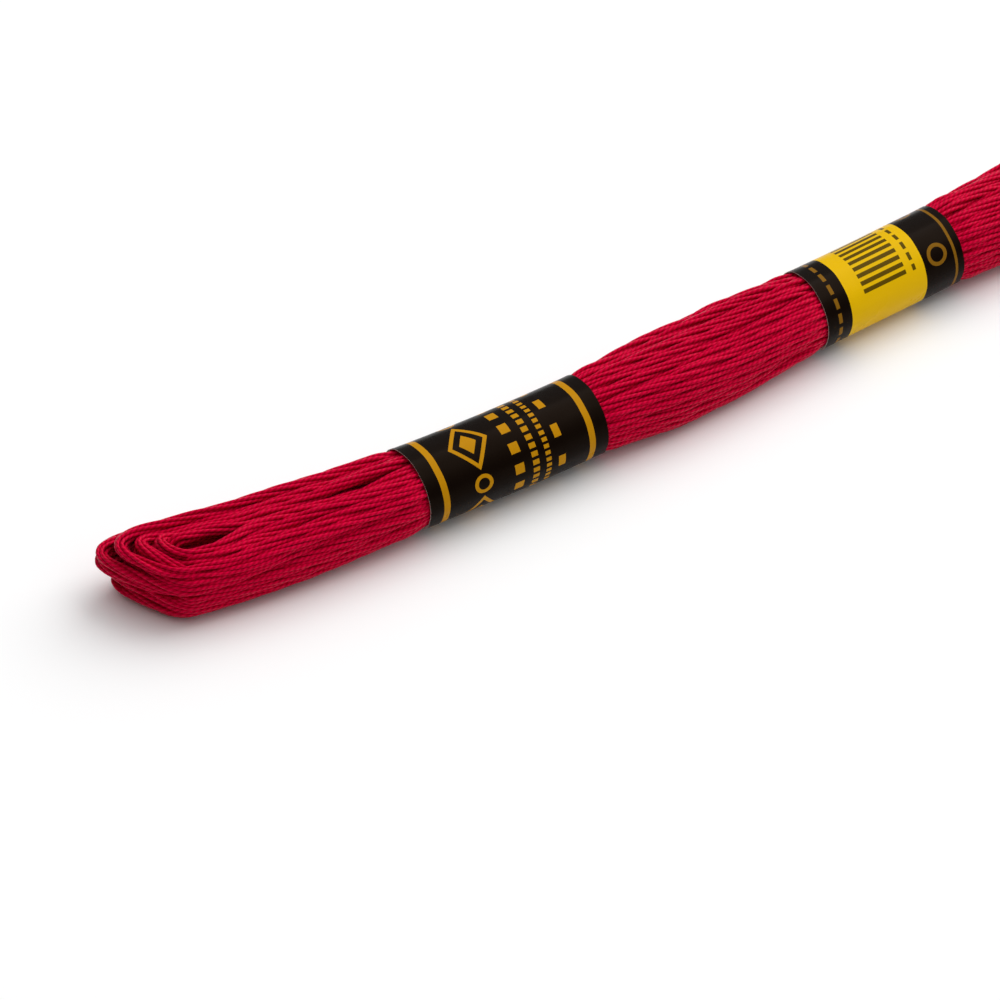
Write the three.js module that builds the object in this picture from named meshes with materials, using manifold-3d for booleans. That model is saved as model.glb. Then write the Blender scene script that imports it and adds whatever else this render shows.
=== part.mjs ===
// A skein of six-strand embroidery floss, lying flat, held by two paper bands.
// One long strand is wound round and round into a hank with a loop at each end. Here the hank
// is one solid of its wound outline: narrow under the bands, swelling between and beyond them,
// grooved where bundles of strands lie side by side, flat where it rests, and open at the eye of
// each end loop. Millimetres, +X along the hank, +Z up, origin on the surface below its middle.

import * as THREE from "three";
import { mergeVertices } from "three/addons/utils/BufferGeometryUtils.js";
import Module from "manifold-3d";

const ENDS = { left: -80.6, right: 82.5 }; // where the middles of the two end loops lie
const SWAY = { at: -20, left: 6.2, right: 6.0 }; // where it lies straight, and how far each end bends to +Y
const PAPER = 0.45; // wall of a band
const OVERLAP = 0.3; // how far the pasted overlap stands out from a band
const OVERLAP_FROM = 215; // degrees round a band where the overlap starts, 0 at +Y and 90 on top
const OVERLAP_TO = 262;
const GAP = 0.3; // between the floss and a band
const WAIST = { width: 10.3, height: 9.5, centre: 6.1 }; // the floss under a band

const LONG_BAND = { name: "long_band", from: -39, to: -10.5, colour: 0x0b0708 };
const SHORT_BAND = { name: "short_band", from: 27, to: 51, colour: 0xd9b400 };
const BAND_RUN = 1.5; // how far the waist runs on past a band's edge

// The rounding of each end loop: its length seen from above and from the side, and how blunt it is.
const LEFT_ROUND = { above: 7.2, side: 4.0, power: 2.6 }; // a power of 2 is an ellipse
const RIGHT_ROUND = { above: 9, side: 4.5, power: 2.3 };

// The left loop reaches further on its +Y side and at its top: by these shares of its rounding, at
// this far to the side of its middle and above it.
const SKEW = { side: 0.45, up: 0.1, half_width: 7.1, half_height: 5.5 };

const GROOVES = 9; // between the bundles of strands, round a section
const GROOVE_DEPTH = 0.45; // at the top of the hank, none underneath and under the bands
const GROOVE_WANDER = 0.5; // radians that a groove drifts round the hank along its length

const ROUND = 48; // sides of a section
const STEPS = 64; // sections along the hank
const BAND_SIDES = 60;
const BAND_STEPS = 6;

// One row for each place where the outline swells or narrows; it runs smoothly between them.
const SECTIONS = [
  { x: ENDS.left, width: 14.0, height: 10.4, centre: 4.9 },
  { x: -74, width: 14.4, height: 11.2, centre: 5.15 },
  { x: LONG_BAND.from - BAND_RUN, ...WAIST },
  { x: LONG_BAND.to + BAND_RUN, ...WAIST },
  { x: 3, width: 13.4, height: 12.0, centre: 5.5 },
  { x: 12, width: 13.2, height: 11.8, centre: 5.4 },
  { x: SHORT_BAND.from - BAND_RUN, ...WAIST },
  { x: SHORT_BAND.to + BAND_RUN, ...WAIST },
  { x: 72, width: 13.6, height: 11.2, centre: 5.15 },
  { x: ENDS.right, width: 13.2, height: 10.4, centre: 4.9 },
];

// The open eye inside each end loop, a slit with pointed ends, and how far aside of the middle it is.
const EYES = [
  { from: -73.6, to: -62, width: 2.0, aside: -1.4 },
  { from: 64, to: 75, width: 1.6, aside: 0 },
];

// The sideways bend of the hank's middle line: tighter at the left end, and nearly even at the right.
function sway(x) {
  const run = x - SWAY.at;
  if (run < 0) return SWAY.left * (run / (ENDS.left - SWAY.at)) ** 2.6;
  return SWAY.right * (run / (ENDS.right - SWAY.at)) ** 1.4;
}

function sectionAt(x) {
  const last = SECTIONS.length - 1;
  let row = 0;
  while (row < last - 1 && x > SECTIONS[row + 1].x) row += 1;
  const a = SECTIONS[row];
  const b = SECTIONS[row + 1];
  const share = THREE.MathUtils.smoothstep(x, a.x, b.x);
  const mix = (key) => THREE.MathUtils.lerp(a[key], b[key], share);
  return { width: mix("width"), height: mix("height"), centre: mix("centre") };
}

// How much smaller a section is at an angle round it, where a groove runs.
function grooveAt(x, round) {
  const { width } = sectionAt(x);
  const free = THREE.MathUtils.smoothstep(width, WAIST.width, WAIST.width + 2);
  const wander = GROOVE_WANDER * Math.sin(4 * Math.PI * x / (ENDS.right - ENDS.left));
  const wave = 0.5 - 0.5 * Math.cos(GROOVES * (round + wander));
  const upper = 0.5 + 0.5 * Math.sin(round);
  return GROOVE_DEPTH * free * wave * upper;
}

// 1 along the hank, falling to 0 at its very end, as seen from above or from the side.
function endRound(x, seen) {
  const [end, round] = x < 0 ? [-ENDS.left, LEFT_ROUND] : [ENDS.right, RIGHT_ROUND];
  const into = Math.max(0, Math.abs(x) - (end - round[seen])) / round[seen];
  return Math.max(0, 1 - into ** round.power) ** (1 / round.power);
}

// Draws the left loop out towards +Y and its top, and back towards -Y and its foot.
function skewed(x, y, up) {
  const turn = ENDS.left + LEFT_ROUND.above;
  const share = 1 + SKEW.side * y / SKEW.half_width + SKEW.up * up / SKEW.half_height;
  return x < turn ? turn + (x - turn) * share : x;
}

// Sections stand closer together at the two ends, where the outline rounds off.
function stationX(share) {
  const even = 2 * share - 1;
  const eased = Math.sin(even * Math.PI / 2);
  return THREE.MathUtils.mapLinear(
    THREE.MathUtils.lerp(even, eased, 0.45), -1, 1, ENDS.left, ENDS.right,
  );
}

function bend(geometry) {
  const place = geometry.attributes.position;
  for (let i = 0; i < place.count; i += 1) {
    place.setY(i, place.getY(i) + sway(place.getX(i)));
  }
  return geometry;
}

// A unit ball with its poles on the X axis, pulled out to the table's sections.
function hankOutline() {
  const geometry = new THREE.SphereGeometry(1, ROUND, STEPS);
  const place = geometry.attributes.position;
  for (let i = 0; i < place.count; i += 1) {
    const along = Math.acos(THREE.MathUtils.clamp(place.getY(i), -1, 1)) / Math.PI;
    const x = stationX(along);
    const round = Math.atan2(place.getZ(i), place.getX(i));
    const pole = along < 1e-6 || along > 1 - 1e-6;
    const { width, height, centre } = sectionAt(x);
    const groove = grooveAt(x, round);
    const across = pole ? 0 : (width / 2 - groove) * endRound(x, "above");
    const upright = pole ? 0 : (height / 2 - groove) * endRound(x, "side");
    const y = across * Math.cos(round);
    const up = upright * Math.sin(round);
    place.setXYZ(i, skewed(x, y, up), y, Math.max(0, centre + up));
  }
  return bend(geometry);
}

function eyeCutter({ from, to, width, aside }) {
  const middle = (from + to) / 2;
  const shape = new THREE.Shape();
  shape.moveTo(from, 0);
  shape.quadraticCurveTo(middle, -width, to, 0);
  shape.quadraticCurveTo(middle, width, from, 0);
  const tall = 20;
  const cutter = new THREE.ExtrudeGeometry(shape, { depth: tall, bevelEnabled: false });
  cutter.translate(0, aside, -tall / 4);
  return bend(cutter);
}

const wasm = await Module();
wasm.setup();

function toSolid(geometry) {
  const bare = geometry.clone();
  bare.deleteAttribute("normal");
  bare.deleteAttribute("uv");
  const merged = mergeVertices(bare, 1e-5);
  const vertProperties = new Float32Array(merged.attributes.position.array);
  const triVerts = new Uint32Array(merged.index.array);
  return new wasm.Manifold(new wasm.Mesh({ numProp: 3, vertProperties, triVerts }));
}

function toGeometry(solid) {
  const mesh = solid.getMesh();
  const geometry = new THREE.BufferGeometry();
  geometry.setAttribute("position", new THREE.BufferAttribute(mesh.vertProperties, 3));
  geometry.setIndex(new THREE.BufferAttribute(mesh.triVerts, 1));
  geometry.computeVertexNormals();
  return geometry;
}

function hank() {
  let solid = toSolid(hankOutline());
  for (const eye of EYES) solid = solid.subtract(toSolid(eyeCutter(eye)));
  const cotton = new THREE.MeshStandardMaterial({ color: 0xb80032, roughness: 0.6, metalness: 0 });
  const mesh = new THREE.Mesh(toGeometry(solid), cotton);
  mesh.name = "floss_hank";
  return mesh;
}

// An oval ring round the waist, a little thicker where the paper laps over itself.
function bandGeometry({ from, to }) {
  const inner = { across: WAIST.width / 2 + GAP, upright: WAIST.height / 2 + GAP };
  const ring = (grow) => {
    const points = [];
    for (let i = 0; i < BAND_SIDES; i += 1) {
      const degrees = i * 360 / BAND_SIDES;
      const out = grow(degrees);
      const round = THREE.MathUtils.degToRad(degrees);
      const across = (inner.across + out) * Math.cos(round);
      const upright = (inner.upright + out) * Math.sin(round);
      points.push(new THREE.Vector2(across, upright));
    }
    return points;
  };
  const lapped = (degrees) => degrees > OVERLAP_FROM && degrees < OVERLAP_TO;
  const outline = new THREE.Shape(ring((degrees) => PAPER + (lapped(degrees) ? OVERLAP : 0)));
  outline.holes.push(new THREE.Path(ring(() => 0)));
  const geometry = new THREE.ExtrudeGeometry(outline, {
    depth: to - from,
    steps: BAND_STEPS,
    bevelEnabled: false,
  });
  // The section's own axes become +Y and +Z, and its depth runs along +X.
  geometry.applyMatrix4(new THREE.Matrix4().makeBasis(
    new THREE.Vector3(0, 1, 0),
    new THREE.Vector3(0, 0, 1),
    new THREE.Vector3(1, 0, 0),
  ));
  geometry.translate(from, 0, WAIST.centre);
  return bend(geometry);
}

function band(size) {
  const paper = new THREE.MeshStandardMaterial({ color: size.colour, roughness: 0.35, metalness: 0 });
  const mesh = new THREE.Mesh(bandGeometry(size), paper);
  mesh.name = size.name;
  return mesh;
}

const skein = new THREE.Group();
skein.add(hank(), band(LONG_BAND), band(SHORT_BAND));

// The bend and the skewed loop leave its box off the origin, so it is centred on it again.
const centre = new THREE.Box3().setFromObject(skein).getCenter(new THREE.Vector3());
skein.position.set(-centre.x, -centre.y, 0);

export default skein;
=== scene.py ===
import math

import bmesh
import bpy
import numpy as np
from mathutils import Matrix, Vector


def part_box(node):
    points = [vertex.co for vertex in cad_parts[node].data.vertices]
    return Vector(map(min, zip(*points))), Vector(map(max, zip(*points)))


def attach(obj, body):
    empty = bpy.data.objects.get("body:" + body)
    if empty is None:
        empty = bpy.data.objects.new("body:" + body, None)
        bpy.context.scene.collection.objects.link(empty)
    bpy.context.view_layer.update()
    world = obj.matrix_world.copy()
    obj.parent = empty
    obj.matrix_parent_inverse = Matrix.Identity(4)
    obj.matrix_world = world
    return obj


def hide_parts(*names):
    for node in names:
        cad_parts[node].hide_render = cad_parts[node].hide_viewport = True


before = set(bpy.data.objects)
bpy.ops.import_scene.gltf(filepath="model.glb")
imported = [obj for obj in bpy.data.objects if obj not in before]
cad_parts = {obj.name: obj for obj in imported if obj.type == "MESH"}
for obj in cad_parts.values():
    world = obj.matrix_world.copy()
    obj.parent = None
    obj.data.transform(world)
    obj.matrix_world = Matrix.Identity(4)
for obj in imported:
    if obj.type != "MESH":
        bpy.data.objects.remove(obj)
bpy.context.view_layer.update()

# ---------------------------------------------------------------------------------------------
# The floss: one length of six-strand mercerised cotton, about 8 m, wound round and round into a
# flat hank of 25 turns. Each turn has a front and a back leg and turns round in a flat hairpin
# at each end. The two paper bands press the legs together; between and beyond them they lie
# loose, and both free ends are tucked in under the short band.
mm = 0.001  # the sizes of the winding are in mm, and what it makes is in metres
turns = 25
floss_thick = 1.34
strand_thick = 0.57
hank_high = np.array(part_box("floss_hank")[1]) / mm
long_low, long_high = (np.array(corner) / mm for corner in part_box("long_band"))
short_low, short_high = (np.array(corner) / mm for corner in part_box("short_band"))

# The two end loops: where their middles lie, how far they reach past the legs for their half
# width, and how blunt they are from above, where 2 is an ellipse. The left loop reaches further
# at its +Y side and at its top, by these shares. The inner turns turn round sooner.
left_end, left_reach, left_blunt = long_low[0] - 41.1, 0.98, 2.6
right_end, right_reach, right_blunt = hank_high[0], 1.42, 2.2
skew_side, skew_up = 0.45, 0.1
sooner = 0.9
left_half, right_half = 6.63, 6.25  # about the half width of the outermost floss in each loop
eye_half = 1.15  # half the width of an open eye
eye_inward, eye_taper = 9, 6  # it is shut this far in from the hairpins, and opens over this much
left_eye_aside = -1.4
left_eye_from, left_eye_over = 16, 14  # where the left eye starts to move aside, and over how much

# x, width, height and height of the middle, wherever the hank swells or narrows: the paper bites
# into the floss, which stands a little proud of it just past its edges
waist = (11.2, 10.4, 6.1)
swell = (12.2, 11.1, 6.1)
sections = np.array([
    (left_end + 5.6, 14.6, 11.0, 5.35),
    (long_low[0] - 2.4, 12.2, 11.0, 5.95),
    (long_low[0] + 0.4, *waist),
    (long_high[0] - 0.4, *waist),
    (long_high[0] + 2.4, *swell),
    (long_high[0] + 13.5, 13.4, 12.0, 5.7),
    (short_low[0] - 15.0, 13.2, 11.8, 5.7),
    (short_low[0] - 2.4, *swell),
    (short_low[0] + 0.4, *waist),
    (short_high[0] - 0.4, *waist),
    (short_high[0] + 2.4, *swell),
    (right_end - 9.5, 13.8, 11.0, 5.35),
])
loop_square = 3.0  # how square the section of the loops is; 2 is an oval
left_turn = left_end + floss_thick / 2 + left_reach * left_half  # where the hairpins start
right_turn = right_end - floss_thick / 2 - right_reach * right_half
straight_at = long_high[0] - 9.5  # the hank bends towards +Y to both sides of here
left_bend, right_bend = 6.2, 6.0
band_half = 5.9  # half the width of a band of the outline
random = np.random.default_rng(12)


def sway(x):
    """How far to the side the middle of the hank lies at x."""
    left = np.minimum(x - straight_at, 0) / (left_end - straight_at)
    right = np.maximum(x - straight_at, 0) / (right_end - straight_at)
    return left_bend * left ** 2.6 + right_bend * right ** 1.4


middle_y = long_high[1] - band_half - sway(long_low[0])


def section_at(x):
    """Half width and half height for the middle of the outermost floss, its height, squareness."""
    x = np.clip(x, left_turn, right_turn)
    row = np.clip(np.searchsorted(sections[:, 0], x) - 1, 0, len(sections) - 2)
    low, high = sections[row], sections[row + 1]
    share = np.clip((x - low[..., 0]) / (high[..., 0] - low[..., 0]), 0, 1)
    share = (0.3 * share + 0.7 * share * share * (3 - 2 * share))[..., None]
    width, height, centre = np.moveaxis((low + (high - low) * share)[..., 1:], -1, 0)
    bulk = np.clip((width - waist[0]) / 2.2, 0, 1)
    in_loop = np.clip(np.maximum(long_low[0] - x, x - short_high[0]) / 15, 0, 1)
    square = 2.2 + (loop_square - 2.2) * bulk * (0.5 + 0.5 * in_loop)
    return width / 2 - floss_thick / 2, height / 2 - floss_thick / 2, centre, square


def loop_reach(x, y, up):
    """How far a loop reaches past the legs for its width, at this place in its section."""
    half_width, half_height, _, _ = section_at(x)
    side = np.clip(y / half_width, -1, 1) * skew_side
    top = np.clip(up / half_height, -1, 1) * skew_up
    return np.where(x < 0, left_reach * (1 + side + top), right_reach)


def slit_at(x):
    """Half the width of the open eye that the hank was wound round, which closes inwards."""
    into = np.clip((np.maximum(left_turn - x, x - right_turn) + sooner + eye_inward) / eye_taper, 0, 1)
    return eye_half * into * into * (3 - 2 * into)


def eye_aside(x):
    """How far the eye lies from the middle of the hank: the left one is nearer its -Y side."""
    into = np.clip((left_turn - x + left_eye_from) / left_eye_over, 0, 1)
    return left_eye_aside * into * into * (3 - 2 * into)


def place_in_section(x, angle, out, side=0):
    """How far from the eye, and how high, a leg on this side runs that is laid at this angle."""
    half_width, half_height, centre, square = section_at(x)
    half_width = half_width - side * eye_aside(x)
    slit = slit_at(x) + floss_thick / 2
    sideways = slit + (half_width - slit) * out * np.abs(np.cos(angle)) ** (2 / square)
    upright = half_height * out * np.sign(np.sin(angle)) * np.abs(np.sin(angle)) ** (2 / square)
    return sideways, centre + upright


# turns in each layer, its share of the way out, and the share of its girth left bare at each end
layers = ((15, 1.0, 0), (7, 0.68, 0.07), (3, 0.38, 0.16))


def lay_of_turns():
    """Where each turn runs: its angle up from the side, and its share of the way out."""
    dense = np.linspace(-math.pi / 2, math.pi / 2, 2000)
    across, up = place_in_section(np.full(2000, left_turn), dense, 1.0)
    girth = np.concatenate(((0,), np.cumsum(np.hypot(np.diff(across), np.diff(up)))))
    free = []
    for count, out, inset in layers:
        even = np.linspace(inset, 1 - inset, count) * girth[-1]
        free += [(angle, out) for angle in np.interp(even, girth, dense)]
    order = [free.pop(0)]
    while free:  # the winder moves on to the nearest free place
        angle, out = order[-1]
        gaps = [
            math.hypot(o * math.cos(a) - out * math.cos(angle), o * math.sin(a) - out * math.sin(angle))
            for a, o in free
        ]
        order.append(free.pop(int(np.argmin(gaps))))
    return order


def wander(places, spacing, size):
    """A smooth random drift that takes a new direction about every spacing."""
    knots = random.normal(0, size, int(places.max() / spacing) + 3)
    low = (places / spacing).astype(int)
    share = places / spacing - low
    share = share * share * (3 - 2 * share)
    return knots[low] * (1 - share) + knots[low + 1] * share


tight = 0.2
loose_after = 14  # mm from a band to where the hank is fully loose


def looseness(x):
    """How loose the hank is at x: tight under the bands, and 1 well away from them."""
    from_long = np.maximum(long_low[0] - x, x - long_high[0])
    from_short = np.maximum(short_low[0] - x, x - short_high[0])
    return np.clip(np.minimum(from_long, from_short) / loose_after, 0, 1) * 0.8 + tight


def turn_from(turn_x, angle, out):
    """Where a leg laid at this angle starts to turn round."""
    inner = 1 - place_in_section(turn_x, angle, out)[0] / section_at(turn_x)[0]
    return turn_x - math.copysign(sooner, turn_x) * inner


def leg(angle, out, start, end, side):
    """One straight run of a turn, on the front (-1) or the back (1) of the hank."""
    x = np.linspace(start, end, int(abs(end - start) / leg_step) + 1)
    run = np.abs(x - start)
    sideways, z = place_in_section(x, angle + wander(run, 40, 0.06), out, side)
    sideways = sideways + wander(run, 30, 0.4) * looseness(x)
    z = z + wander(run, 30, 0.4) * looseness(x)
    return np.stack((x, eye_aside(x) + side * np.maximum(sideways, 0.3), z), axis=1)


def hairpin(before, after, turn_x, blunt):
    """The half turn from the last point of one leg to the first of the next."""
    aside = eye_aside(turn_x)
    w_before, w_after = abs(before[1] - aside), abs(after[1] - aside)
    around = np.linspace(0, math.pi, max(9, int((w_before + w_after) * 1.6)))[1:-1]
    share = 0.5 - 0.5 * np.cos(around)
    w = w_before + (w_after - w_before) * share
    across = np.sign(np.cos(around)) * np.abs(np.cos(around)) ** (2 / blunt)
    beyond = np.sin(around) ** (2 / blunt)
    y = aside + math.copysign(1, before[1] - aside) * w * across
    z = before[2] + (after[2] - before[2]) * share + random.normal(0, 0.9) * np.sin(around)
    reach = loop_reach(turn_x, y, z - section_at(turn_x)[2]) * random.normal(1, 0.09)
    slack = abs(random.normal(0, 0.9))
    x = before[0] + (after[0] - before[0]) * share
    x += math.copysign(1, turn_x) * np.maximum(w * reach - slack, 0.6) * beyond
    return np.stack((x, y, z), axis=1)


def winding():
    """The route of the whole floss, turn after turn, before the turns settle on each other."""
    tucked = (short_low[0] + short_high[0]) / 2
    legs = []
    for number, (angle, out) in enumerate(lay_of_turns()):
        front, back = angle + random.normal(0, 0.07, 2)
        front_from = tucked if number == 0 else turn_from(right_turn, front, out)
        back_to = tucked if number == turns - 1 else turn_from(right_turn, back, out)
        legs.append(leg(front, out, front_from, turn_from(left_turn, front, out), -1))
        legs.append(leg(back, out, turn_from(left_turn, back, out), back_to, 1))
    route = [legs[0]]
    for number in range(1, len(legs)):
        at = (left_turn, left_blunt) if number % 2 == 1 else (right_turn, right_blunt)
        route.append(hairpin(legs[number - 1][-1], legs[number][0], *at))
        route.append(legs[number])
    return np.concatenate(route)


def near_pairs(points, ahead, spacing, contact):
    """Pairs of points side by side on different stretches of line, that may come to touch."""
    reach = math.hypot(spacing * 0.6, contact * 1.5)
    order = np.argsort(points[:, 0])
    x = points[order, 0]
    first, second = [], []
    for step in range(1, len(points)):
        close = np.nonzero(x[step:] - x[:-step] < reach)[0]
        if not len(close):
            break
        a, b = order[close], order[close + step]
        apart = points[b] - points[a]
        along = np.abs((apart * ahead[a]).sum(1))
        near = (apart ** 2).sum(1) < reach * reach
        near &= (along < spacing * 0.6) & (np.abs(a - b) > 3)
        first.append(a[near])
        second.append(b[near])
    return np.concatenate(first), np.concatenate(second)


def headings(points):
    """The direction of the line at each of its points."""
    ahead = np.empty_like(points)
    ahead[1:-1] = points[2:] - points[:-2]
    ahead[0], ahead[-1] = ahead[1], ahead[-2]
    return ahead / np.maximum(np.linalg.norm(ahead, axis=1), 1e-6)[:, None]


def keep_in_outline(points, thick):
    """Brings points that stray outside the hank's outline back to it, less strictly in the loops."""
    x, y, z = points.T
    half_width, half_height, centre, square = section_at(x)
    half_width = half_width + (floss_thick - thick) / 2
    half_height = half_height + (floss_thick - thick) / 2
    turn = np.clip(x, left_turn, right_turn)
    blunt = np.where(x < 0, left_blunt, right_blunt)
    up = z - centre
    reach = loop_reach(turn, y, up)
    past = (x - turn) / reach
    plan = (np.abs(y) ** blunt + np.abs(past) ** blunt) ** (1 / blunt)
    full = (plan / half_width) ** square + (np.abs(up) / half_height) ** square
    stray = 0.07 * np.clip(np.maximum(left_turn - x, x - right_turn) / 3, 0, 1)
    trim = np.maximum(full ** (1 / square) - stray, 1)
    x, y = turn + past / trim * reach, y / trim
    eye = np.clip(x, left_turn + sooner, right_turn - sooner)
    aside = eye_aside(x)
    open_out = (slit_at(x) + thick / 2) / np.maximum(np.hypot(x - eye, y - aside), 1e-3)
    open_out = np.maximum(open_out, 1)
    points[:, 0] = eye + (x - eye) * open_out
    points[:, 1] = aside + (y - aside) * open_out
    points[:, 2] = np.maximum(centre + up / trim, thick / 2 + floor_gap)


contact_share = 0.94  # of their thickness, at which two lines stop pushing each other apart
push_share = 0.35  # of an overlap, undone in one round
sink = 0.003  # in one round
memory = 0.998  # how much of its shift a line keeps from round to round
floor_gap = 0.05  # between the table and the lowest floss


def settle(lines, spacing, thick, rounds):
    """Lets lines of one thickness push each other apart sideways and sink a little.

    They still overlap a little nearly everywhere, and most under the bands.
    """
    route = np.concatenate(lines)
    starts = np.cumsum([len(line) for line in lines])[:-1]
    laid = route.copy()
    contact = thick * contact_share
    for count in range(rounds):
        if count % 12 == 0:
            ahead = np.concatenate([headings(line) for line in np.split(laid, starts)])
            a, b = near_pairs(laid, ahead, spacing, contact)
            ahead_of_a = ahead[a]
        apart = laid[b] - laid[a]
        apart -= ahead_of_a * (apart * ahead_of_a).sum(1)[:, None]
        distance = np.maximum(np.linalg.norm(apart, axis=1), 0.03)
        push = apart * (np.clip(contact - distance, 0, None) / distance * push_share)[:, None]
        for axis in range(3):
            laid[:, axis] += np.bincount(b, push[:, axis], len(laid))
            laid[:, axis] -= np.bincount(a, push[:, axis], len(laid))
        laid[:, 2] -= sink
        shift = laid - route
        middle = shift[1:-1] * 0.4 + (shift[:-2] + shift[2:]) * 0.3
        middle[starts - 1] = shift[starts]
        middle[starts - 2] = shift[starts - 1]
        shift[1:-1] = middle
        laid = route + shift * memory
        keep_in_outline(laid, thick)
    return np.split(laid, starts)


def even_steps(points, step, fine_step=None):
    """The same route as a smooth curve with a point every step, or closer together in its bends."""
    ends = np.concatenate((points[:1], points, points[-1:]))
    p0, p1, p2, p3 = ends[:-3], ends[1:-2], ends[2:-1], ends[3:]
    fine = []
    for t in np.arange(6) / 6:
        fine.append(0.5 * (
            2 * p1
            + (p2 - p0) * t
            + (2 * p0 - 5 * p1 + 4 * p2 - p3) * t ** 2
            + (3 * p1 - p0 - 3 * p2 + p3) * t ** 3
        ))
    fine = np.stack(fine, axis=1).reshape(-1, 3)
    lengths = np.linalg.norm(np.diff(fine, axis=0), axis=1)
    along = np.concatenate(((0,), np.cumsum(lengths)))
    places = np.arange(0, along[-1], step)
    if fine_step:
        in_bend = (fine[:, 0] < left_turn) | (fine[:, 0] > right_turn)
        pace = np.where(in_bend[1:], fine_step, step)
        count = np.concatenate(((0,), np.cumsum(lengths / pace)))
        places = np.interp(np.arange(0, count[-1]), count, along)
    return places, np.stack([np.interp(places, along, axis) for axis in fine.T], axis=1)


effort = 1
leg_step, floss_step = 1.5, 1.2
(settled,) = settle([winding()], leg_step, floss_thick, int(200 * effort))
along, floss = even_steps(settled, floss_step)

# One strand runs along the floss's middle and five turn slowly round it, and every strand then
# settles among those of its own and the neighbouring flosses.
strands = 6
floss_pitch = 24.0
strand_out, core_out = 0.52, 0.05  # how far a strand runs from the floss's middle line
heading = headings(floss)
across = np.cross((0, 0, 1), heading)
across /= np.linalg.norm(across, axis=1)[:, None]
upward = np.cross(heading, across)
lines = []
for strand in range(strands):
    turn = 2 * math.pi * (strand / (strands - 1) + along / floss_pitch) + wander(along, 20, 0.35)
    out = (strand_out if strand else core_out) * (1 + wander(along, 12, 0.12))
    lines.append(
        floss
        + across * (out * np.cos(turn))[:, None]
        + upward * (out * np.sin(turn))[:, None]
    )
lines = settle(lines, floss_step, strand_thick, int(120 * effort))

# Crimson cotton with the silky shine that mercerising gives. Each of the six strands is itself
# two fine plies, whose twist shows as small slanting ridges along it: bumps, with a painted
# highlight on each ridge and painted shade between them.
crimson = bpy.data.materials.new("crimson_cotton")
crimson.use_nodes = True
nodes, links = crimson.node_tree.nodes, crimson.node_tree.links
cotton = nodes["Principled BSDF"]
cotton.inputs["Roughness"].default_value = 0.35
cotton.inputs["Specular IOR Level"].default_value = 0.12
cotton.inputs["Specular Tint"].default_value = (1.0, 0.02, 0.3, 1.0)
cotton.inputs["Sheen Weight"].default_value = 0.15
cotton.inputs["Sheen Roughness"].default_value = 0.4
cotton.inputs["Sheen Tint"].default_value = (1.0, 0.02, 0.15, 1.0)


def math_on(tree, operation, *values):
    """A sum of a material, whose values are numbers or other sums."""
    node = tree.nodes.new("ShaderNodeMath")
    node.operation = operation
    for socket, value in zip(node.inputs, values):
        if isinstance(value, (int, float)):
            socket.default_value = value
        else:
            tree.links.new(value, socket)
    return node.outputs["Value"]


tree = crimson.node_tree
strand_uv = nodes.new("ShaderNodeUVMap")
strand_uv.uv_map = "UVMap"
split = nodes.new("ShaderNodeSeparateXYZ")
links.new(strand_uv.outputs["UV"], split.inputs["Vector"])
ply_ridge = 0.85  # from one ridge to the next along a strand
ply_turn = math_on(tree, "MULTIPLY", split.outputs["X"], 2 * math.pi / ply_ridge)
ply_side = math_on(tree, "MULTIPLY", split.outputs["Y"], 4 * math.pi)
ply = math_on(tree, "SINE", math_on(tree, "ADD", ply_turn, ply_side))
ply_height = math_on(tree, "MULTIPLY_ADD", ply, 0.5, 0.5)
ply_bump = nodes.new("ShaderNodeBump")
ply_bump.inputs["Strength"].default_value = 0.45
ply_bump.inputs["Distance"].default_value = 0.07 * mm
links.new(ply_height, ply_bump.inputs["Height"])
links.new(ply_bump.outputs["Normal"], cotton.inputs["Normal"])
# the base colour is lighter on the ply ridges and darker between them: painted highlight and painted
# shade
ply_painted_highlight_and_shade = nodes.new("ShaderNodeValToRGB")
ply_painted_highlight_and_shade.color_ramp.elements[0].color = (0.42, 0.0003, 0.017, 1)
ply_painted_highlight_and_shade.color_ramp.elements[1].color = (0.69, 0.0004, 0.042, 1)
links.new(ply_height, ply_painted_highlight_and_shade.inputs["Fac"])
links.new(ply_painted_highlight_and_shade.outputs["Color"], cotton.inputs["Base Color"])

# Each strand is a round tube drawn along its own line.
tube_step, bend_step = 0.85, 0.45
for strand, line_points in enumerate(lines):
    along, middle = even_steps(line_points, tube_step, bend_step)
    middle[:, 1] += sway(middle[:, 0]) + middle_y
    line = bpy.data.curves.new("strand_line", "CURVE")
    line.dimensions = "3D"
    line.bevel_depth = strand_thick / 2 * mm
    line.bevel_resolution = 1
    line.use_fill_caps = True
    spline = line.splines.new("POLY")
    spline.points.add(len(middle) - 1)
    spline.points.foreach_set("co", np.c_[middle * mm, np.ones(len(middle))].ravel())
    spline.points.foreach_set("radius", 1 + wander(along, 6, 0.05))
    drawn = bpy.data.objects.new("strand_line", line)
    mesh = bpy.data.meshes.new_from_object(drawn)
    bpy.data.objects.remove(drawn)
    bpy.data.curves.remove(line)
    uv = np.empty(len(mesh.loops) * 2)
    mesh.uv_layers["UVMap"].data.foreach_get("uv", uv)
    uv[::2] = np.interp(uv[::2] * (len(along) - 1), np.arange(len(along)), along)
    mesh.uv_layers["UVMap"].data.foreach_set("uv", uv)
    bm = bmesh.new()
    bm.from_mesh(mesh)
    bmesh.ops.remove_doubles(bm, verts=bm.verts, dist=0.0005 * mm)
    bm.to_mesh(mesh)
    bm.free()
    mesh.shade_smooth()
    mesh.materials.clear()
    mesh.materials.append(crimson)
    piece = bpy.data.objects.new(f"floss_strand_{strand + 1}", mesh)
    bpy.context.collection.objects.link(piece)
    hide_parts("floss_hank")
    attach(piece, "root")

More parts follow.
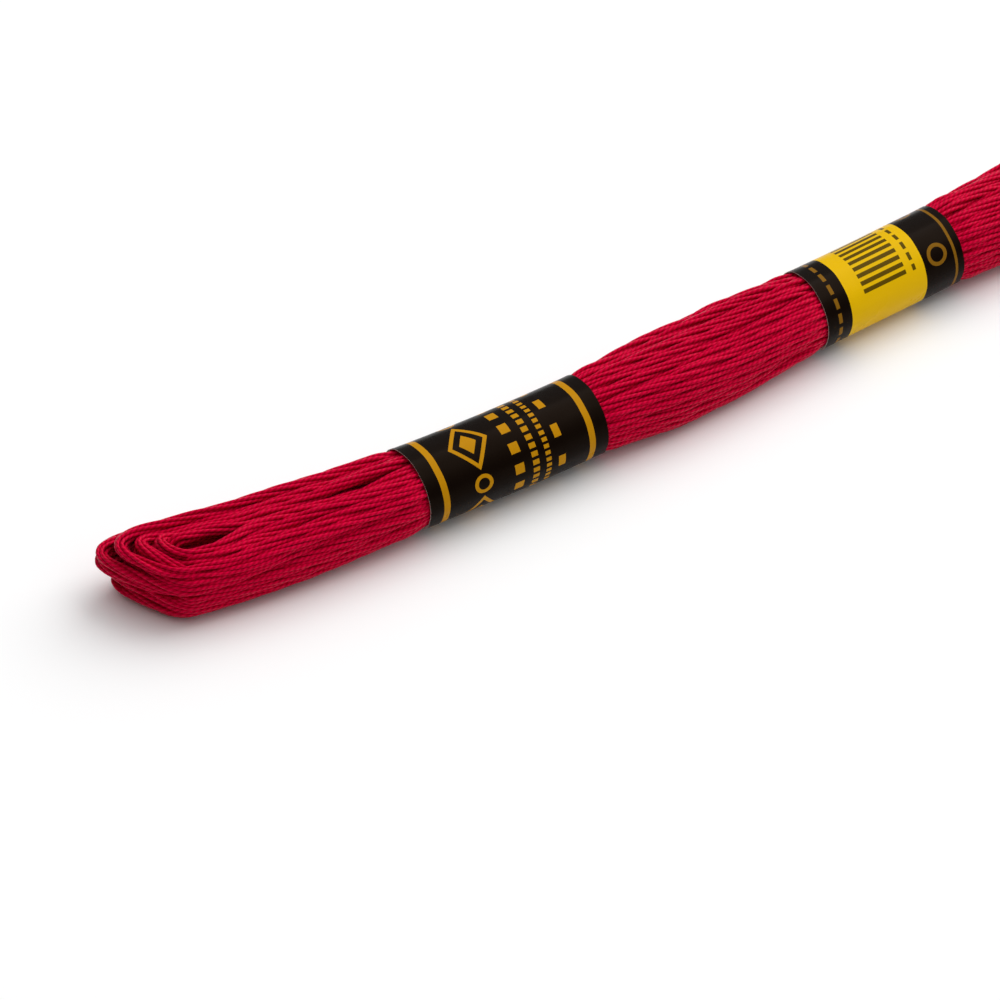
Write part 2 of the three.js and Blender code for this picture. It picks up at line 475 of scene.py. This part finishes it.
# ---------------------------------------------------------------------------------------------
# The long band: a strip of glossy coated paper, printed black with gold, wrapped once round the
# hank and pasted where it laps over itself on the lower side. Its cut edges show the pale paper.
paper_thick = 0.12
paper_half = (5.80, 5.38)  # half width and half height of the oval that the wrapped paper makes
lap = 6.0
lap_from = 215  # degrees round the hank where the strip starts, 0 at +Y and 90 on top


def oval(degrees):
    """A point of the wrapped paper's oval, and how much of the girth comes before it."""
    turn = np.radians(degrees)
    y = paper_half[0] * np.sign(np.cos(turn)) * np.abs(np.cos(turn)) ** 0.93
    z = paper_half[1] * np.sign(np.sin(turn)) * np.abs(np.sin(turn)) ** 0.93
    dent = 1 - 0.010 * np.cos(5 * turn + 0.8) - 0.006 * np.cos(9 * turn)
    return y * dent, z * dent


round_degrees = lap_from + np.arange(0, 781)
oval_y, oval_z = oval(round_degrees)
oval_run = np.concatenate(((0,), np.cumsum(np.hypot(np.diff(oval_y), np.diff(oval_z)))))
girth = oval_run[360]
strip_length = girth + lap


def wrap_paper(name, low, high, printed, plain):
    """A flat strip of paper from low to high along the hank, rolled round it and lapped."""
    width = high - low
    bm = bmesh.new()
    bm.loops.layers.uv.new("UVMap")
    bmesh.ops.create_grid(bm, x_segments=24, y_segments=150, size=0.5, calc_uvs=True)
    for vertex in bm.verts:
        u, v = vertex.co.x + 0.5, vertex.co.y + 0.5
        run = v * strip_length
        y, z = oval(np.interp(run, oval_run, round_degrees))
        over = min(max((run - girth + 4) / 4, 0), 1)
        over = over * over * (3 - 2 * over) * (paper_thick + 0.03)
        flare = 0.06 * abs(2 * u - 1) ** 12
        wave = 0.04 * math.sin(3.1 * u + 0.4 * run) * math.sin(1.7 + 5.3 * u)
        grow = 1 + (over + flare + wave) / math.hypot(y, z)
        x = low + u * width
        vertex.co = Vector((x, y * grow + sway(x) + middle_y, z * grow + waist[2])) * mm
    bmesh.ops.reverse_faces(bm, faces=bm.faces)
    bm.normal_update()
    outside = set(bm.faces)
    bmesh.ops.solidify(bm, geom=bm.faces, thickness=paper_thick * mm)
    for face in bm.faces:
        face.material_index = 0 if face in outside else 1
    mesh = bpy.data.meshes.new(name)
    bm.to_mesh(mesh)
    bm.free()
    mesh.shade_smooth()
    mesh.set_sharp_from_angle(angle=math.radians(50))
    mesh.materials.append(printed)
    mesh.materials.append(plain)
    piece = bpy.data.objects.new(name, mesh)
    bpy.context.collection.objects.link(piece)
    return piece


plain_paper = bpy.data.materials.new("plain_paper")
plain_paper.use_nodes = True
paper = plain_paper.node_tree.nodes["Principled BSDF"]
paper.inputs["Base Color"].default_value = (0.45, 0.42, 0.38, 1)
paper.inputs["Roughness"].default_value = 0.8


def printed_paper(name, width):
    """Coated paper, with its print's plan in mm: u along the hank and v round it."""
    material = bpy.data.materials.new(name)
    material.use_nodes = True
    tree = material.node_tree
    coating = tree.nodes["Principled BSDF"]
    coating.inputs["Specular IOR Level"].default_value = 0.04
    coating.inputs["Specular Tint"].default_value = (1.0, 0.7, 0.5, 1.0)
    place = tree.nodes.new("ShaderNodeTexCoord")
    uneven = tree.nodes.new("ShaderNodeTexNoise")
    uneven.inputs["Scale"].default_value = 260.0
    uneven.inputs["Detail"].default_value = 4.0
    tree.links.new(place.outputs["Object"], uneven.inputs["Vector"])
    rough = math_on(tree, "MULTIPLY_ADD", uneven.outputs["Fac"], 0.3, 0.13)
    tree.links.new(rough, coating.inputs["Roughness"])
    ripple = tree.nodes.new("ShaderNodeBump")
    ripple.inputs["Strength"].default_value = 0.35
    ripple.inputs["Distance"].default_value = 0.08 * mm
    tree.links.new(uneven.outputs["Fac"], ripple.inputs["Height"])
    tree.links.new(ripple.outputs["Normal"], coating.inputs["Normal"])
    uv = tree.nodes.new("ShaderNodeUVMap")
    uv.uv_map = "UVMap"
    split = tree.nodes.new("ShaderNodeSeparateXYZ")
    tree.links.new(uv.outputs["UV"], split.inputs["Vector"])
    u = math_on(tree, "MULTIPLY", split.outputs["X"], float(width))
    v = math_on(tree, "MULTIPLY", split.outputs["Y"], float(strip_length))
    return material, tree, coating, u, v


def print_over(tree, below, mask, colour):
    """Lays an ink of one colour over what is below it, wherever the mask is 1."""
    mix = tree.nodes.new("ShaderNodeMix")
    mix.data_type = "RGBA"
    tree.links.new(mask, mix.inputs["Factor"])
    if isinstance(below, tuple):
        mix.inputs["A"].default_value = below
    else:
        tree.links.new(below, mix.inputs["A"])
    mix.inputs["B"].default_value = colour
    return mix.outputs["Result"]


black_print, tree, coating, u, v = printed_paper("black_and_gold_paper", long_high[0] - long_low[0])
marks = []
edge_lines, edge_line_half = (2.6, 25.9), 0.48
for at in edge_lines:
    marks.append(math_on(tree, "COMPARE", u, at, edge_line_half))
row_at, row_pitch = 8.5, 6.2  # the row of lozenges and rings, and from one of them to the next
lozenge_half_u, lozenge_half_v = 3.1, 4.2
from_lozenge = math_on(tree, "PINGPONG", v, row_pitch)
from_ring = math_on(tree, "SUBTRACT", row_pitch, from_lozenge)
from_row = math_on(tree, "ABSOLUTE", math_on(tree, "SUBTRACT", u, row_at))
lozenge = math_on(
    tree, "ADD",
    math_on(tree, "DIVIDE", from_row, lozenge_half_u),
    math_on(tree, "DIVIDE", from_lozenge, lozenge_half_v),
)
marks.append(math_on(tree, "COMPARE", lozenge, 0.88, 0.11))
marks.append(math_on(tree, "LESS_THAN", lozenge, 0.42))
ring_radius, ring_half = 1.15, 0.28
ring = math_on(tree, "SQRT", math_on(
    tree, "ADD",
    math_on(tree, "POWER", from_row, 2.0),
    math_on(tree, "POWER", from_ring, 2.0),
))
marks.append(math_on(tree, "COMPARE", ring, ring_radius, ring_half))
# columns of dashes: where each runs, its half width, its pitch, and the share that is inked
for at, wide, pitch, filled in (
    (14.2, 0.72, 3.1, 0.5), (16.8, 0.5, 1.24, 0.62), (18.8, 0.4, 0.98, 0.6), (20.9, 0.55, 4.65, 0.4),
):
    dash = math_on(tree, "LESS_THAN", math_on(tree, "PINGPONG", v, pitch / 2), pitch / 2 * filled)
    marks.append(math_on(tree, "MULTIPLY", math_on(tree, "COMPARE", u, at, wide), dash))
gold_marks = marks[0]
for mark in marks[1:]:
    gold_marks = math_on(tree, "MAXIMUM", gold_marks, mark)
black_ink = (0.0045, 0.0022, 0.0012, 1)
gold_ink = (0.50, 0.226, 0.003, 1)
tree.links.new(print_over(tree, black_ink, gold_marks, gold_ink), coating.inputs["Base Color"])

long_paper = wrap_paper("long_paper_band", long_low[0], long_high[0], black_print, plain_paper)
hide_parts("long_band")
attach(long_paper, "root")

# ---------------------------------------------------------------------------------------------
# The short band: a strip of the same paper, printed black with a yellow panel, which is wrapped
# and pasted in the same way.
yellow_print, tree, coating, u, v = printed_paper(
    "black_and_yellow_paper", short_high[0] - short_low[0]
)
yellow_ink = (0.75, 0.45, 0.002, 1)
dark_ink = (0.10, 0.06, 0.002, 1)
dull_gold_ink = (0.22, 0.10, 0.006, 1)
panel_at, panel_half = 10.8, 6.6
panel = math_on(tree, "COMPARE", u, panel_at, panel_half)
colour = print_over(tree, black_ink, panel, yellow_ink)
# a plate of even bars along the skein, with a thin broken line beside it
bar_pitch, bar_half = 1.15, 0.32
bars_at, bars_half = 10.6, 3.7
plate_at, plate_half = 20.5, 8.6
bar_edge = math_on(tree, "PINGPONG", v, bar_pitch / 2)
bars = math_on(tree, "MULTIPLY",
    math_on(tree, "LESS_THAN", bar_edge, bar_half),
    math_on(tree, "COMPARE", u, bars_at, bars_half),
)
plate = math_on(tree, "COMPARE", v, plate_at, plate_half)
colour = print_over(tree, colour, math_on(tree, "MULTIPLY", bars, plate), dark_ink)
dash = math_on(tree, "LESS_THAN", math_on(tree, "PINGPONG", v, 0.9), 0.6)
dashes = math_on(tree, "MULTIPLY", math_on(tree, "COMPARE", u, 15.7, 0.28), dash)
colour = print_over(tree, colour, math_on(tree, "MULTIPLY", dashes, plate), dark_ink)
# thin gold lines on the black borders, and a row of rings on the wider one
ring_side = math_on(tree, "POWER", math_on(tree, "SUBTRACT", u, 19.9), 2.0)
ring_run = math_on(tree, "POWER", math_on(tree, "PINGPONG", math_on(tree, "ADD", v, 1.5), 5.0), 2.0)
ring = math_on(tree, "SQRT", math_on(tree, "ADD", ring_side, ring_run))
gold = math_on(tree, "MAXIMUM",
    math_on(tree, "COMPARE", ring, 1.35, 0.28),
    math_on(tree, "COMPARE", u, 22.7, 0.22),
)
gold = math_on(tree, "MAXIMUM", gold, math_on(tree, "MULTIPLY",
    math_on(tree, "COMPARE", u, 2.2, 0.3),
    math_on(tree, "LESS_THAN", math_on(tree, "PINGPONG", v, 1.1), 0.75),
))
colour = print_over(tree, colour, gold, dull_gold_ink)
tree.links.new(colour, coating.inputs["Base Color"])
short_paper = wrap_paper("short_paper_band", short_low[0], short_high[0], yellow_print, plain_paper)
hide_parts("short_band")
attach(short_paper, "root")

# ---------------------------------------------------------------------------------------------
# The table: a plain white top, well past the picture's edges, under soft studio light. The main
# light is a wide soft one, above and behind the skein and to its right.
table_mesh = bpy.data.meshes.new("table_top")
bm = bmesh.new()
bmesh.ops.create_grid(bm, x_segments=1, y_segments=1, size=3.0)
bm.to_mesh(table_mesh)
bm.free()
table = bpy.data.objects.new("table_top", table_mesh)
bpy.context.collection.objects.link(table)
white = bpy.data.materials.new("white_table")
white.use_nodes = True
white.node_tree.nodes["Principled BSDF"].inputs["Base Color"].default_value = (0.95, 0.95, 0.95, 1)
white.node_tree.nodes["Principled BSDF"].inputs["Roughness"].default_value = 0.9
white.node_tree.nodes["Principled BSDF"].inputs["Specular IOR Level"].default_value = 0.1
table_mesh.materials.append(white)


def soft_light(name, place, size, power, target):
    """A square soft light at place, turned to shine on target."""
    lamp = bpy.data.lights.new(name, "AREA")
    lamp.size = size
    lamp.energy = power
    light = bpy.data.objects.new(name, lamp)
    light.location = place
    light.rotation_euler = (Vector(target) - Vector(place)).to_track_quat("-Z", "Y").to_euler()
    bpy.context.collection.objects.link(light)


soft_light("key_light", (1.30, 0.20, 1.30), 1.8, 21.0, (0, 0, 0))
world = bpy.data.worlds.new("studio")
world.use_nodes = True
sky = world.node_tree
facing = sky.nodes.new("ShaderNodeTexCoord")
towards = sky.nodes.new("ShaderNodeVectorMath")
towards.operation = "DOT_PRODUCT"
towards.inputs[1].default_value = Vector((0.45, 0.05, 0.89)).normalized()
sky.links.new(facing.outputs["Generated"], towards.inputs[0])
brighter = math_on(sky, "POWER", math_on(sky, "MAXIMUM", towards.outputs["Value"], 0.0), 2.0)
sky_glow, sky_base = 1.42, 0.13  # added straight towards the bright part, and everywhere
strength = math_on(sky, "MULTIPLY_ADD", brighter, sky_glow, sky_base)
sky.nodes["Background"].inputs["Color"].default_value = (1, 1, 1, 1)
sky.links.new(strength, sky.nodes["Background"].inputs["Strength"])
bpy.context.scene.world = world
bpy.context.scene.view_settings.view_transform = "Standard"

# The camera looks down on the skein from its left front with a long lens.
azimuth, elevation = math.radians(-32.6), math.radians(42)
looking = Vector((
    -math.sin(azimuth) * math.cos(elevation),
    math.cos(azimuth) * math.cos(elevation),
    -math.sin(elevation),
))
camera_data = bpy.data.cameras.new("camera")
camera_data.sensor_width = 36
camera_data.lens = 265
camera_data.clip_start = 0.05
camera = bpy.data.objects.new("camera", camera_data)
aim = Vector((long_low[0] + 12.9, long_low[1] + 3.24, 0)) * mm
camera.location = aim - looking
camera.rotation_euler = looking.to_track_quat("-Z", "Y").to_euler()
bpy.context.collection.objects.link(camera)
bpy.context.scene.camera = camera
